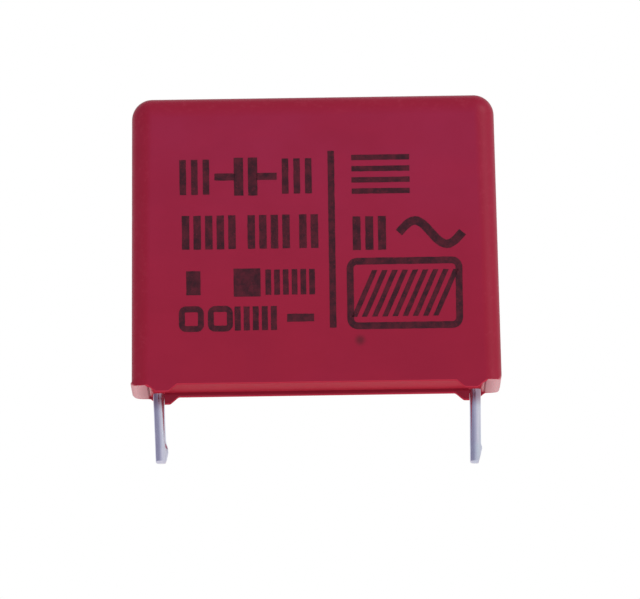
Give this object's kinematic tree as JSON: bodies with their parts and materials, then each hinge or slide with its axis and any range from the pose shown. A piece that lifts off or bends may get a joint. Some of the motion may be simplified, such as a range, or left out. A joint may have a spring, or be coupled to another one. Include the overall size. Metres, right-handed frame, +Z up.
{
  "type": "box film capacitor",
  "caption": "Board-mounted film capacitor: a flat film winding potted in a drafted plastic box on stand-off feet, with straight wire leads.",
  "frame": {"origin": "on the seating plane under the feet, midway between the two leads", "axes": "+X along the case, through both leads; +Y across the case; +Z up, away from the board; the leads point to -Z"},
  "size_m": [0.0262, 0.0108, 0.0259],
  "materials": {
    "case_plastic": "moulded, semi-gloss dark red",
    "resin": "cast epoxy resin, dull red",
    "metallised_film": "metallised polypropylene film, wound and pressed",
    "sprayed_metal": "rough sprayed zinc alloy",
    "tinned_wire": "bright tinned copper wire"
  },
  "bodies": {
    "root": {"case": "case_plastic", "resin_seal": "resin", "film_winding": "metallised_film", "left_end_contact": "sprayed_metal", "right_end_contact": "sprayed_metal", "left_lead": "tinned_wire", "right_lead": "tinned_wire"}
  },
  "joints": []
}
